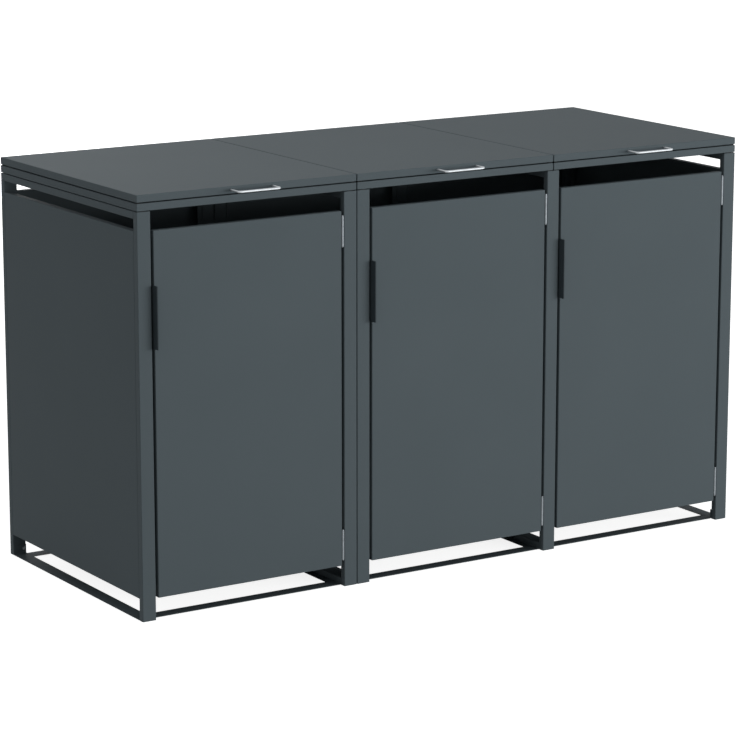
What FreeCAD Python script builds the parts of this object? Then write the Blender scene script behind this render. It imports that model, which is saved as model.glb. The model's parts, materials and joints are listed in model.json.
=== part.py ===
import FreeCAD, Part
import math
import os
import re

import Sketcher
from FreeCAD import Placement, Rotation, Vector

# Wheelie bin store: a single and a double module of tube posts with sheet panels, three
# hinged doors and three hinged lids. +X runs along the front to the right, +Y to the rear,
# +Z up. The origin lies on the floor under the middle of the whole store.

doc = FreeCAD.newDocument("BinStore")

# Hinge barrels, pins and the rod of the bow handles are drawn with this many flats.
barrelFlats = 10

drivingSizes = [
    ("store_depth", 800, "front face of the posts to their rear face"),
    ("bay_width", 593, "clear width between two posts"),
    ("module_gap", 2, "between the single and the double module"),
    ("post_height", 1105, "floor to the top of a post"),
    ("post_width", 40, "tube section along X"),
    ("post_depth", 20, "tube section along Y"),
    ("post_wall", 1.5, "wall of posts, rails and sills"),
    ("post_round", 2, "outer corner of a tube"),
    ("insert_height", 8, "plastic insert in a tube's end"),
    ("insert_wall", 2, "wall of the insert"),
    ("insert_play", 0.1, "insert to the tube's inside, each side"),
    ("rail_height", 20, "top side rail along Z"),
    ("sheet_wall", 1.2, "sheet of doors, panels and lids"),
    ("bend_round", 2, "outside of a sheet's bend"),
    ("lip_width", 15, "flange at the back of a pan's return"),
    ("hat_height", 12, "hat stiffener off the skin"),
    ("hat_crown", 30, "width of the hat's crown"),
    ("hat_flange", 15, "width of each flange of the hat"),
    ("hat_end_gap", 4, "end of the hat to the pan's return"),
    ("panel_bottom", 60, "floor to the panels and doors"),
    ("panel_top_drop", 52, "top of the posts down to the panels and doors"),
    ("panel_depth", 20, "returns of side and rear panels"),
    ("strip_width", 40, "flat floor strips"),
    ("strip_thick", 2, "floor strips and their tabs"),
    ("tab_height", 28, "tab at each end of a side strip"),
    ("right_strip_inset", 3, "right strip in from the outer face"),
    ("rear_strip_inset", 7, "rear strips off the rear posts"),
    ("sill_height", 20, "tube on the floor between bays"),
    ("ledge_width", 24, "flange of that tube on its left"),
    ("spacer_side", 14, "square spacers on and between posts"),
    ("joining_spacer_low", 280, "joining spacers above the floor"),
    ("joining_spacer_high", 880, "joining spacers above the floor"),
    ("frame_gap", 2, "posts to the lid frames, a spacer's thickness"),
    ("frame_height", 20, "lid frame along Z"),
    ("frame_wall", 1.5, "folded section of the lid frame"),
    ("frame_side_flange", 40, "lid frame's flange at left and right"),
    ("frame_end_flange", 20, "lid frame's flange at front and rear"),
    ("lid_gap", 3, "lid frame to the shut lid"),
    ("lid_height", 20, "returns of a lid"),
    ("lid_side_gap", 2.5, "between two lids"),
    ("bumper_length", 12, "rubber pad under a lid, along X"),
    ("bumper_width", 8, "rubber pad under a lid, along Y"),
    ("bumper_inset", 3, "rubber pad from the lid's edges"),
    ("bumper_play", 0.3, "bumper to the shut lid"),
    ("door_gap", 8, "door to the post at each side"),
    ("door_depth", 18, "returns of a door"),
    ("pin_offset", 4, "hinge pin off the faces that carry its leaves"),
    ("pin_radius", 2, "hinge pin"),
    ("pin_play", 0.05, "moving knuckle round the pin"),
    ("knuckle_radius", 3.5, "outside of a knuckle"),
    ("knuckle_gap", 0.3, "between knuckles"),
    ("hinge_length", 88.5, "three knuckles and the pin's two heads"),
    ("pin_head_length", 4, "rounded head at each end of the pin"),
    ("pin_head_radius", 3.2, "rounded head at each end of the pin"),
    ("leaf_thick", 1.5, "hinge leaf"),
    ("leaf_reach", 16, "leaf from the pin's axis"),
    ("leaf_relief", 0.5, "leaf clear of the other half's knuckles"),
    ("door_pin_depth", 2, "door's hinge pin behind the front face"),
    ("door_hinge_low", 15, "lower hinge above the door's bottom"),
    ("door_hinge_high", 11.5, "upper hinge below the door's top"),
    ("lid_hinge_inset", 90, "hinge from the lid's edge"),
    ("pull_thick", 3, "door's pull plate"),
    ("pull_reach", 21, "pull plate in front of the door"),
    ("pull_grip", 16, "pull plate along the door's return"),
    ("pull_height", 170, "pull plate along Z"),
    ("pull_drop", 144.5, "pull plate below the door's top"),
    ("pull_round", 3, "front corners of the pull plate"),
    ("catch_height", 30, "magnetic catch along Z"),
    ("catch_thick", 2, "catch's stop plate"),
    ("catch_overlap", 14, "stop plate behind the door"),
    ("catch_seat", 18, "stop plate on the post"),
    ("magnet_inset", 2, "magnet in from the door's edge"),
    ("magnet_play", 0.3, "magnet to the shut door"),
    ("bow_span", 128, "feet of a lid's bow handle, centre to centre"),
    ("bow_radius", 3, "rod of the bow handle"),
    ("bow_reach", 46, "bow handle in front of the lid"),
    ("bow_bend", 9, "bend of the rod at its middle line"),
    ("bow_from_right", 327, "middle of the handle from the lid's right edge"),
]

derivedSizes = [
    ("panel_top", "post_height - panel_top_drop"),
    ("panel_height", "panel_top - panel_bottom"),
    ("frame_bottom", "post_height + frame_gap"),
    ("frame_top", "frame_bottom + frame_height"),
    ("lid_bottom", "frame_top + lid_gap"),
    ("inner_depth", "store_depth - 2 * post_depth"),
    ("store_width", "5 * post_width + 3 * bay_width + module_gap"),
    ("front_y", "-(store_depth + pin_offset + knuckle_radius - bow_reach) / 2"),
    ("rear_y", "front_y + store_depth"),
    ("post_1_left", "-store_width / 2"),
    ("post_2_left", "post_1_left + post_width + bay_width"),
    ("post_3_left", "post_2_left + post_width + module_gap"),
    ("post_4_left", "post_3_left + post_width + bay_width"),
    ("post_5_left", "post_4_left + post_width + bay_width"),
    ("bay_1_left", "post_1_left + post_width"),
    ("bay_2_left", "post_3_left + post_width"),
    ("bay_3_left", "post_4_left + post_width"),
    ("lid_1_left", "post_1_left"),
    ("lid_1_right", "post_3_left - module_gap / 2 - lid_side_gap / 2"),
    ("lid_2_left", "lid_1_right + lid_side_gap"),
    ("lid_2_right", "post_4_left + post_width / 2 - lid_side_gap / 2"),
    ("lid_3_left", "lid_2_right + lid_side_gap"),
    ("lid_3_right", "post_5_left + post_width"),
    ("door_width", "bay_width - 2 * door_gap"),
    ("barrel_length", "hinge_length - 2 * pin_head_length"),
    ("knuckle_pitch", "barrel_length / 3"),
    ("lid_pin_level", "frame_top + lid_gap / 2"),
]

sizes = doc.addObject("Spreadsheet::Sheet", "Sizes")
for row, (alias, number, note) in enumerate(drivingSizes, start=1):
    sizes.set("A%d" % row, note)
    sizes.set("B%d" % row, str(number))
    sizes.setAlias("B%d" % row, alias)
for row, (alias, formula) in enumerate(derivedSizes, start=1):
    sizes.set("D%d" % row, "=" + formula)
    sizes.setAlias("D%d" % row, alias)
doc.recompute()
aliases = {entry[0] for entry in drivingSizes + derivedSizes}

workshop = doc.addObject("App::DocumentObjectGroup", "Workshop")
nodes = []


def bound(formula):
    # A formula in the sheet's words, as an expression that other objects can hold.
    def withSheet(match):
        word = match.group()
        return "Sizes." + word if word in aliases else word

    return re.sub(r"[a-z]\w*", withSheet, formula)


def value(formula):
    return float(workshop.evalExpression(bound(formula)))


def place(piece, x, y, z, rotation=Rotation()):
    piece.Placement = Placement(Vector(value(x), value(y), value(z)), rotation)
    piece.setExpression("Placement.Base.x", bound(x))
    piece.setExpression("Placement.Base.y", bound(y))
    piece.setExpression("Placement.Base.z", bound(z))
    return piece


def keep(piece, label):
    piece.Label = label
    nodes.append(piece)
    return piece


def newSketch(body, name, role, lift="0"):
    sketch = body.newObject("Sketcher::SketchObject", name)
    plane = [feature for feature in body.Origin.OriginFeatures if feature.Role == role][0]
    sketch.AttachmentSupport = [(plane, "")]
    sketch.MapMode = "FlatFace"
    sketch.setExpression("AttachmentOffset.Base.z", bound(lift))
    return sketch


def hold(sketch, kind, geometry, corner, formula):
    # Ties one coordinate of a corner to the sheet, measured from the sketch's origin.
    constraint = Sketcher.Constraint(kind, -1, 1, geometry, corner, value(formula))
    index = sketch.addConstraint(constraint)
    sketch.setExpression("Constraints[%d]" % index, bound(formula))


def drawOutline(sketch, corners):
    # A closed outline of straight sides through corners that are pairs of formulas.
    first = sketch.GeometryCount
    count = len(corners)
    points = [Vector(value(x), value(y), 0) for x, y in corners]
    for number in range(count):
        following = (number + 1) % count
        sketch.addGeometry(Part.LineSegment(points[number], points[following]), False)
    for number in range(count):
        following = (number + 1) % count
        joint = Sketcher.Constraint("Coincident", first + number, 2, first + following, 1)
        sketch.addConstraint(joint)
        if corners[number][0] == corners[following][0]:
            sketch.addConstraint(Sketcher.Constraint("Vertical", first + number))
        elif corners[number][1] == corners[following][1]:
            sketch.addConstraint(Sketcher.Constraint("Horizontal", first + number))
    for axis, kind in enumerate(("DistanceX", "DistanceY")):
        for number in range(count):
            if corners[number][axis] != corners[number - 1][axis]:
                hold(sketch, kind, first + number, 1, corners[number][axis])


def rectangle(left, bottom, width, height):
    right = "%s + %s" % (left, width)
    top = "%s + %s" % (bottom, height)
    return [(left, bottom), (right, bottom), (right, top), (left, top)]


def addPad(body, sketch, length):
    # Sections drawn on the XZ plane face the front, so they are padded the other way, to +Y.
    pad = body.newObject("PartDesign::Pad", sketch.Name + "Pad")
    pad.Profile = sketch
    pad.setExpression("Length", bound(length))
    pad.Reversed = sketch.AttachmentSupport[0][0].Role == "XZ_Plane"
    sketch.Visibility = False
    doc.recompute()
    return pad


def addPocket(body, sketch, depth, towardsNormal):
    before = body.Shape.Volume
    pocket = body.newObject("PartDesign::Pocket", sketch.Name + "Pocket")
    pocket.Profile = sketch
    pocket.setExpression("Length", bound(depth))
    pocket.Reversed = towardsNormal
    doc.recompute()
    if not body.Shape.Volume < before - 1:
        raise RuntimeError("%s cuts nothing" % pocket.Name)
    return pocket


def addFillet(body, feature, chosen, radius):
    edges = feature.Shape.Edges
    names = ["Edge%d" % (index + 1) for index, edge in enumerate(edges) if chosen(edge)]
    fillet = body.newObject("PartDesign::Fillet", feature.Name + "Fillet")
    fillet.Base = (feature, names)
    fillet.setExpression("Radius", bound(radius))
    doc.recompute()
    return fillet


def runsAlong(edge, axis):
    direction = edge.Vertexes[-1].Point - edge.Vertexes[0].Point
    return abs(direction.normalize().dot(axis)) > 0.999


def onOutside(edge, shape, axes):
    # True for an edge that lies on the outer limits of the shape along both given axes.
    box = shape.BoundBox
    low = (box.XMin, box.YMin, box.ZMin)
    high = (box.XMax, box.YMax, box.ZMax)
    middle = edge.CenterOfMass
    steps = [min(abs(middle[axis] - low[axis]), abs(middle[axis] - high[axis])) for axis in axes]
    return max(steps) < 0.01


def section(name, role, outlines, length, roundAxis=None):
    # A tube or folded strip: its section drawn on an origin plane and padded to its length.
    body = doc.addObject("PartDesign::Body", name)
    sketch = newSketch(body, name + "Section", role)
    for corners in outlines:
        drawOutline(sketch, corners)
    pad = addPad(body, sketch, length)
    if roundAxis is not None:
        axis = Vector(*[1 if index == roundAxis else 0 for index in range(3)])
        across = [index for index in range(3) if index != roundAxis]

        def corner(edge):
            return runsAlong(edge, axis) and onOutside(edge, pad.Shape, across)

        addFillet(body, pad, corner, "post_round")
    return body


def tube(name, role, height, length, roundAxis=None):
    outer = rectangle("0", "0", "post_width", height)
    clearHeight = height + " - 2 * post_wall"
    inner = rectangle("post_wall", "post_wall", "post_width - 2 * post_wall", clearHeight)
    return section(name, role, [outer, inner], length, roundAxis)


def post(name, left, y):
    return place(tube(name, "XY_Plane", "post_depth", "post_height", 2), left, y, "0")


def hatOutline(middle, skin):
    crown = "hat_crown / 2"
    foot = "(hat_crown / 2 + hat_flange)"
    low = "%s - hat_height" % skin
    seat = "%s - sheet_wall" % skin
    inside = "%s - hat_height + sheet_wall" % skin
    return [
        ("%s - %s" % (middle, foot), skin),
        ("%s - %s" % (middle, foot), seat),
        ("%s - %s" % (middle, crown), seat),
        ("%s - %s" % (middle, crown), low),
        ("%s + %s" % (middle, crown), low),
        ("%s + %s" % (middle, crown), seat),
        ("%s + %s" % (middle, foot), seat),
        ("%s + %s" % (middle, foot), skin),
        ("%s + %s - sheet_wall" % (middle, crown), skin),
        ("%s + %s - sheet_wall" % (middle, crown), inside),
        ("%s - %s + sheet_wall" % (middle, crown), inside),
        ("%s - %s + sheet_wall" % (middle, crown), skin),
    ]


def pan(name, width, height, depth, hats):
    # A folded sheet pan. Its skin is on top, its returns run down to lips round an open back.
    body = doc.addObject("PartDesign::Body", name)
    sketch = newSketch(body, name + "Skin", "XY_Plane")
    drawOutline(sketch, rectangle("0", "0", width, height))
    pad = addPad(body, sketch, depth)
    top = pad.Shape.BoundBox.ZMax

    def bend(edge):
        return edge.CenterOfMass.z > top - 0.01

    addFillet(body, pad, bend, "bend_round")
    hollow = newSketch(body, name + "Hollow", "XY_Plane", "sheet_wall")
    clearWidth = "%s - 2 * sheet_wall" % width
    clearHeight = "%s - 2 * sheet_wall" % height
    drawOutline(hollow, rectangle("sheet_wall", "sheet_wall", clearWidth, clearHeight))
    addPocket(body, hollow, "%s - 2 * sheet_wall" % depth, True)
    mouth = newSketch(body, name + "Mouth", "XY_Plane")
    mouthWidth = "%s - 2 * lip_width" % width
    mouthHeight = "%s - 2 * lip_width" % height
    drawOutline(mouth, rectangle("lip_width", "lip_width", mouthWidth, mouthHeight))
    addPocket(body, mouth, "sheet_wall", True)
    for number, middle in enumerate(hats, start=1):
        hat = newSketch(body, "%sHat%d" % (name, number), "YZ_Plane", "sheet_wall + hat_end_gap")
        drawOutline(hat, hatOutline(middle, "%s - sheet_wall" % depth))
        addPad(body, hat, "%s - 2 * sheet_wall - 2 * hat_end_gap" % width)
    return body


def standing(turn):
    # Turns a pan from lying skin up to standing, with its skin to the front at a turn of 0.
    return Rotation(Vector(0, 0, 1), turn).multiply(Rotation(Vector(1, 0, 0), 90))


def lidFrame(name, width):
    # A folded C section all round: a web outside, with flanges that point inwards.
    body = doc.addObject("PartDesign::Body", name)
    sketch = newSketch(body, name + "Plan", "XY_Plane")
    drawOutline(sketch, rectangle("0", "0", width, "store_depth"))
    openWidth = "%s - 2 * frame_side_flange" % width
    openDepth = "store_depth - 2 * frame_end_flange"
    drawOutline(sketch, rectangle("frame_side_flange", "frame_end_flange", openWidth, openDepth))
    pad = addPad(body, sketch, "frame_height")

    def outerBend(edge):
        if runsAlong(edge, Vector(0, 0, 1)):
            return False
        return onOutside(edge, pad.Shape, (0,)) or onOutside(edge, pad.Shape, (1,))

    addFillet(body, pad, outerBend, "bend_round")
    channel = newSketch(body, name + "Channel", "XY_Plane", "frame_wall")
    clearWidth = "%s - 2 * frame_wall" % width
    clearDepth = "store_depth - 2 * frame_wall"
    drawOutline(channel, rectangle("frame_wall", "frame_wall", clearWidth, clearDepth))
    addPocket(body, channel, "frame_height - 2 * frame_wall", True)
    return body


def box(name, length, width, height, x="0", y="0", z="0"):
    piece = doc.addObject("Part::Box", name)
    piece.setExpression("Length", bound(length))
    piece.setExpression("Width", bound(width))
    piece.setExpression("Height", bound(height))
    return place(piece, x, y, z)


def cut(name, base, tool):
    piece = doc.addObject("Part::Cut", name)
    piece.Base = base
    piece.Tool = tool
    return piece


def fuse(name, pieces):
    piece = doc.addObject("Part::MultiFuse", name)
    piece.Shapes = pieces
    return piece


def group(name, pieces):
    piece = doc.addObject("Part::Compound", name)
    piece.Links = pieces
    return piece


def copyOf(master, name, x, y, z, rotation=Rotation()):
    piece = doc.addObject("App::Link", name)
    piece.LinkedObject = master
    piece.LinkTransform = False
    return place(piece, x, y, z, rotation)


def prism(name, radius, height, z):
    # The radius is to the corners between the flats.
    piece = doc.addObject("Part::Prism", name)
    piece.Polygon = barrelFlats
    piece.setExpression("Circumradius", bound(radius))
    piece.setExpression("Height", bound(height))
    return place(piece, "0", "0", z)


def hingeHalf(name, own):
    # Half a butt hinge with its pin along Z. The leaf lies pin_offset off the axis at +X and
    # runs to +Y. Knuckles in own belong to this half; the half with the first carries the pin.
    reliefStart = "knuckle_radius + leaf_relief"
    leafLength = "leaf_reach - knuckle_radius - leaf_relief"
    leafX = "pin_offset - leaf_thick"
    leaf = box(name + "Leaf", "leaf_thick", leafLength, "barrel_length")
    pieces = [place(leaf, leafX, reliefStart, "pin_head_length")]
    for number in own:
        bottom = "pin_head_length + %d * knuckle_pitch + knuckle_gap / 2" % number
        height = "knuckle_pitch - knuckle_gap"
        pieces.append(prism("%sKnuckle%d" % (name, number), "knuckle_radius", height, bottom))
        tab = box("%sTab%d" % (name, number), "leaf_thick", reliefStart + " + leaf_thick", height)
        pieces.append(place(tab, leafX, "0", bottom))
    if 0 in own:
        pieces.append(prism(name + "Pin", "pin_radius", "hinge_length", "0"))
        headLength = "pin_head_length + knuckle_gap / 2"
        pieces.append(prism(name + "LowHead", "pin_head_radius", headLength, "0"))
        headStart = "hinge_length - (%s)" % headLength
        pieces.append(prism(name + "HighHead", "pin_head_radius", headLength, headStart))
        return fuse(name, pieces)
    body = fuse(name + "Leaves", pieces)
    boreRadius = "(pin_radius + pin_play) / cos(180 deg / %d)" % barrelFlats
    return cut(name, body, prism(name + "Bore", boreRadius, "hinge_length", "0"))


def bowHandle(name):
    # A bent rod: two feet on the lid's front, two quarter bends and a straight grip.
    body = doc.addObject("PartDesign::Body", name)
    path = newSketch(body, name + "Path", "XY_Plane")
    half = value("bow_span / 2")
    grip = value("-bow_reach + bow_radius")
    bend = value("bow_bend")
    quarter = math.pi / 2
    leftBendCircle = Part.Circle(Vector(bend - half, grip + bend, 0), Vector(0, 0, 1), bend)
    rightBendCircle = Part.Circle(Vector(half - bend, grip + bend, 0), Vector(0, 0, 1), bend)
    sides = [
        Part.LineSegment(Vector(-half, 0, 0), Vector(-half, grip + bend, 0)),
        Part.ArcOfCircle(leftBendCircle, 2 * quarter, 3 * quarter),
        Part.LineSegment(Vector(bend - half, grip, 0), Vector(half - bend, grip, 0)),
        Part.ArcOfCircle(rightBendCircle, 3 * quarter, 4 * quarter),
        Part.LineSegment(Vector(half, grip + bend, 0), Vector(half, 0, 0)),
    ]
    left, leftBend, bar, rightBend, right = [path.addGeometry(side, False) for side in sides]
    for before, after in ((left, leftBend), (leftBend, bar), (bar, rightBend), (rightBend, right)):
        path.addConstraint(Sketcher.Constraint("Tangent", before, 2, after, 1))
    path.addConstraint(Sketcher.Constraint("Vertical", left))
    path.addConstraint(Sketcher.Constraint("Horizontal", bar))
    path.addConstraint(Sketcher.Constraint("Equal", leftBend, rightBend))
    hold(path, "DistanceX", left, 1, "-bow_span / 2")
    hold(path, "DistanceY", left, 1, "0")
    hold(path, "DistanceX", right, 2, "bow_span / 2")
    hold(path, "DistanceY", right, 2, "0")
    hold(path, "DistanceY", bar, 1, "-bow_reach + bow_radius")
    index = path.addConstraint(Sketcher.Constraint("Radius", leftBend, bend))
    path.setExpression("Constraints[%d]" % index, bound("bow_bend"))
    rod = newSketch(body, name + "Rod", "XZ_Plane")
    corners = []
    for number in range(barrelFlats):
        turn = "%d * 360 deg / %d" % (number, barrelFlats)
        corners.append(("-bow_span / 2 + bow_radius * cos(%s)" % turn, "bow_radius * sin(%s)" % turn))
    drawOutline(rod, corners)
    doc.recompute()
    pipe = body.newObject("PartDesign::AdditivePipe", name + "Pipe")
    pipe.Profile = rod
    pipe.Spine = path
    doc.recompute()
    return body


def pullPlate(name):
    # A flat plate seen edge on from the front, with its two front corners rounded.
    outline = rectangle("-pull_reach", "0", "pull_reach + pull_grip", "pull_height")
    body = section(name, "YZ_Plane", [outline], "pull_thick")
    pad = body.Tip

    def front(edge):
        atFront = abs(edge.CenterOfMass.y + value("pull_reach")) < 0.01
        return atFront and runsAlong(edge, Vector(1, 0, 0))

    addFillet(body, pad, front, "pull_round")
    return body


def sideStrip(name):
    # A flat strip on the floor whose two ends are bent up against the posts.
    inner = "inner_depth"
    outline = [
        ("0", "0"),
        (inner, "0"),
        (inner, "tab_height"),
        (inner + " - strip_thick", "tab_height"),
        (inner + " - strip_thick", "strip_thick"),
        ("strip_thick", "strip_thick"),
        ("strip_thick", "tab_height"),
        ("0", "tab_height"),
    ]
    return section(name, "YZ_Plane", [outline], "strip_width")


postLefts = ["post_%d_left" % number for number in range(1, 6)]
innerFront = "front_y + post_depth"
innerRear = "rear_y - post_depth"

for number, left in enumerate(postLefts, start=1):
    front = post("PostFront%d" % number, left, "front_y")
    keep(front, "post_front_%d" % number)
    rear = post("PostRear%d" % number, left, innerRear)
    keep(rear, "post_rear_%d" % number)
    rail = tube("TopRail%d" % number, "XZ_Plane", "rail_height", "inner_depth")
    place(rail, left, innerFront, "post_height - rail_height")
    keep(rail, "top_rail_%d" % number)

# Side strips lie at the left end, at the left of the double module and at the right end.
rightStripLeft = "post_5_left + post_width - right_strip_inset - strip_width"
sideStrips = [
    ("left", "post_1_left"),
    ("middle", "post_3_left"),
    ("right", rightStripLeft),
]
for side, left in sideStrips:
    strip = sideStrip("FloorStrip" + side.title())
    place(strip, left, innerFront, "0")
    keep(strip, "floor_strip_" + side)

# Tubes with a flange lie on the floor between the bays.
for number, left in ((1, "post_2_left"), (2, "post_4_left")):
    outer = [
        ("-ledge_width", "0"),
        ("post_width", "0"),
        ("post_width", "sill_height"),
        ("0", "sill_height"),
        ("0", "strip_thick"),
        ("-ledge_width", "strip_thick"),
    ]
    sillHollow = "sill_height - 2 * post_wall"
    inner = rectangle("post_wall", "post_wall", "post_width - 2 * post_wall", sillHollow)
    sill = section("FloorSill%d" % number, "XZ_Plane", [outer, inner], "inner_depth")
    place(sill, left, innerFront, "0")
    keep(sill, "floor_sill_%d" % number)

stripEnds = [
    ("post_1_left + strip_width", "post_2_left - ledge_width"),
    ("post_3_left + strip_width", "post_4_left - ledge_width"),
    ("post_4_left + post_width", rightStripLeft),
]
for number, (left, right) in enumerate(stripEnds, start=1):
    length = "%s - (%s)" % (right, left)
    front = box("FrontStrip%d" % number, length, "strip_width", "strip_thick", left, innerFront)
    keep(front, "floor_strip_front_%d" % number)
    rearY = innerRear + " - rear_strip_inset - strip_width"
    rear = box("RearStrip%d" % number, length, "strip_width", "strip_thick", left, rearY)
    keep(rear, "floor_strip_rear_%d" % number)

# Panels: their returns lie against the posts, with the skin flush with the posts outside.
sideHats = ["panel_height / 3", "panel_height * 2 / 3"]
left = pan("SidePanelLeft", "inner_depth", "panel_height", "panel_depth", sideHats)
place(left, "post_1_left + panel_depth", innerRear, "panel_bottom", standing(-90))
keep(left, "side_panel_left")
right = pan("SidePanelRight", "inner_depth", "panel_height", "panel_depth", sideHats)
place(right, "post_5_left + post_width - panel_depth", innerFront, "panel_bottom", standing(90))
keep(right, "side_panel_right")
for number in (1, 2, 3):
    rear = pan("RearPanel%d" % number, "bay_width", "panel_height", "panel_depth", sideHats)
    bayRight = "bay_%d_left + bay_width" % number
    place(rear, bayRight, "rear_y - panel_depth", "panel_bottom", standing(180))
    keep(rear, "rear_panel_%d" % number)

# Plastic inserts close both ends of every post.
insertEdge = "(post_wall + insert_play)"
insertLength = "post_width - 2 * %s" % insertEdge
insertWidth = "post_depth - 2 * %s" % insertEdge
hollowLength = insertLength + " - 2 * insert_wall"
hollowWidth = insertWidth + " - 2 * insert_wall"
hollowEdge = insertEdge + " + insert_wall"
insertOuter = box("InsertOuter", insertLength, insertWidth, "insert_height", insertEdge, insertEdge)
insertHollow = box("InsertHollow", hollowLength, hollowWidth, "insert_height - insert_wall")
place(insertHollow, hollowEdge, hollowEdge, "insert_wall")
insert = cut("Insert", insertOuter, insertHollow)
feet = []
caps = []
spacers = []
frameSpacer = box("FrameSpacer", "spacer_side", "spacer_side", "frame_gap")
upsideDown = Rotation(Vector(1, 0, 0), 180)
for number, postLeft in enumerate(postLefts, start=1):
    for row, y in (("Front", "front_y"), ("Rear", innerRear)):
        feet.append(copyOf(insert, "Foot%s%d" % (row, number), postLeft, y, "0"))
        name = "Cap%s%d" % (row, number)
        caps.append(copyOf(insert, name, postLeft, y + " + post_depth", "post_height", upsideDown))
        # The post between bays 2 and 3 carries the corners of two lid frames.
        shares = ("1 / 4", "3 / 4") if number == 4 else ("1 / 2",)
        for index, share in enumerate(shares):
            x = "%s + post_width * %s - spacer_side / 2" % (postLeft, share)
            spacerY = y + " + post_depth / 2 - spacer_side / 2"
            name = "FrameSpacer%s%d%d" % (row, number, index)
            spacers.append(copyOf(frameSpacer, name, x, spacerY, "post_height"))
keep(group("PostFeet", feet), "post_feet")
keep(group("PostCaps", caps), "post_caps")

# Spacers between the two modules keep their posts apart.
joiningSpacer = box("JoiningSpacer", "module_gap", "spacer_side", "spacer_side")
for row, y in (("Front", "front_y"), ("Rear", innerRear)):
    for level in ("joining_spacer_low", "joining_spacer_high"):
        name = "Joining%s%s" % (row, level.title().replace("_", ""))
        x = "post_2_left + post_width"
        spacerY = y + " + post_depth / 2 - spacer_side / 2"
        spacers.append(copyOf(joiningSpacer, name, x, spacerY, level))
keep(group("Spacers", spacers), "spacers")

# Lid frames, lids and their bow handles.
bumper = box("Bumper", "bumper_length", "bumper_width", "lid_gap - bumper_play")
bumpers = []
for number in (1, 2, 3):
    left = "lid_%d_left" % number
    right = "lid_%d_right" % number
    width = "(%s - %s)" % (right, left)
    frame = lidFrame("LidFrame%d" % number, width)
    place(frame, left, "front_y", "frame_bottom")
    keep(frame, "lid_frame_%d" % number)
    lid = pan("Lid%d" % number, width, "store_depth", "lid_height", ["store_depth / 2"])
    place(lid, left, "front_y", "lid_bottom")
    keep(lid, "lid_%d" % number)
    handle = bowHandle("LidHandle%d" % number)
    place(handle, right + " - bow_from_right", "front_y", "lid_bottom + lid_height / 2")
    keep(handle, "lid_handle_%d" % number)
    bumperRight = right + " - bumper_inset - bumper_length"
    bumperRear = "rear_y - bumper_inset - bumper_width"
    for side, x in (("Left", left + " + bumper_inset"), ("Right", bumperRight)):
        for row, y in (("Front", "front_y + bumper_inset"), ("Rear", bumperRear)):
            bumpers.append(copyOf(bumper, "Bumper%d%s%s" % (number, side, row), x, y, "frame_top"))
keep(group("LidBumpers", bumpers), "lid_bumpers")

# Doors with their pull plates and magnetic catches.
catches = []
stopPlate = box("StopPlate", "catch_seat + door_gap + catch_overlap", "catch_thick", "catch_height")
magnetDepth = "post_depth - door_depth - magnet_play"
magnet = box("Magnet", "catch_overlap - magnet_inset", magnetDepth, "catch_height")
place(magnet, "catch_seat + door_gap + magnet_inset", "-(%s)" % magnetDepth, "0")
catch = fuse("Catch", [stopPlate, magnet])
for number in (1, 2, 3):
    doorLeft = "bay_%d_left + door_gap" % number
    door = pan("Door%d" % number, "door_width", "panel_height", "door_depth", sideHats)
    place(door, doorLeft, "front_y + door_depth", "panel_bottom", standing(0))
    keep(door, "door_%d" % number)
    pull = pullPlate("DoorPull%d" % number)
    place(pull, doorLeft + " - pull_thick", "front_y", "panel_top - pull_drop - pull_height")
    keep(pull, "door_pull_%d" % number)
    catchZ = "panel_top - pull_drop - pull_height / 2 - catch_height / 2"
    x = "bay_%d_left - catch_seat" % number
    catches.append(copyOf(catch, "Catch%d" % number, x, innerFront, catchZ))
keep(group("DoorCatches", catches), "door_catches")

# Hinges: the half on the frame has two knuckles and the pin, the moving half has one.
fixedHalf = hingeHalf("FixedHalf", (0, 2))
movingHalf = hingeHalf("MovingHalf", (1,))
flipped = Rotation(Vector(0, 1, 0), 180)
down = Rotation(Vector(0, -1, 0), Vector(0, 0, -1), Vector(1, 0, 0), "ZXY")
up = Rotation(Vector(0, -1, 0), Vector(0, 0, 1), Vector(-1, 0, 0), "ZXY")
doorFixed = []
lidFixed = []
hingeLow = "panel_bottom + door_hinge_low"
hingeHigh = "panel_top - door_hinge_high - hinge_length"
for number in (1, 2, 3):
    pinX = "bay_%d_left + bay_width - pin_offset" % number
    pinY = "front_y + door_pin_depth"
    moving = []
    for where, z in (("Low", hingeLow), ("High", hingeHigh)):
        doorFixed.append(copyOf(fixedHalf, "DoorFixed%s%d" % (where, number), pinX, pinY, z))
        top = z + " + hinge_length"
        name = "DoorMoving%s%d" % (where, number)
        moving.append(copyOf(movingHalf, name, pinX, pinY, top, flipped))
    keep(group("DoorHinge%d" % number, moving), "door_hinge_%d" % number)

    # A lid's hinge lies along X: its leaves are flat on the rear of the frame and of the lid.
    lidPinY = "rear_y + pin_offset"
    moving = []
    starts = (
        ("Left", "lid_%d_left + lid_hinge_inset" % number),
        ("Right", "lid_%d_right - lid_hinge_inset - hinge_length" % number),
    )
    for where, x in starts:
        name = "LidFixed%s%d" % (where, number)
        lidFixed.append(copyOf(fixedHalf, name, x, lidPinY, "lid_pin_level", down))
        end = x + " + hinge_length"
        name = "LidMoving%s%d" % (where, number)
        moving.append(copyOf(movingHalf, name, end, lidPinY, "lid_pin_level", up))
    keep(group("LidHinge%d" % number, moving), "lid_hinge_%d" % number)
keep(group("DoorHingesFixed", doorFixed), "door_hinges_fixed")
keep(group("LidHingesFixed", lidFixed), "lid_hinges_fixed")

doc.recompute()
for piece in doc.Objects:
    if "Invalid" in piece.State or "Error" in piece.State:
        raise RuntimeError("%s failed: %s" % (piece.Name, piece.State))
for piece in nodes:
    if piece.Shape.isNull() or not piece.Shape.isValid():
        raise RuntimeError("%s has no valid shape" % piece.Label)

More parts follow.
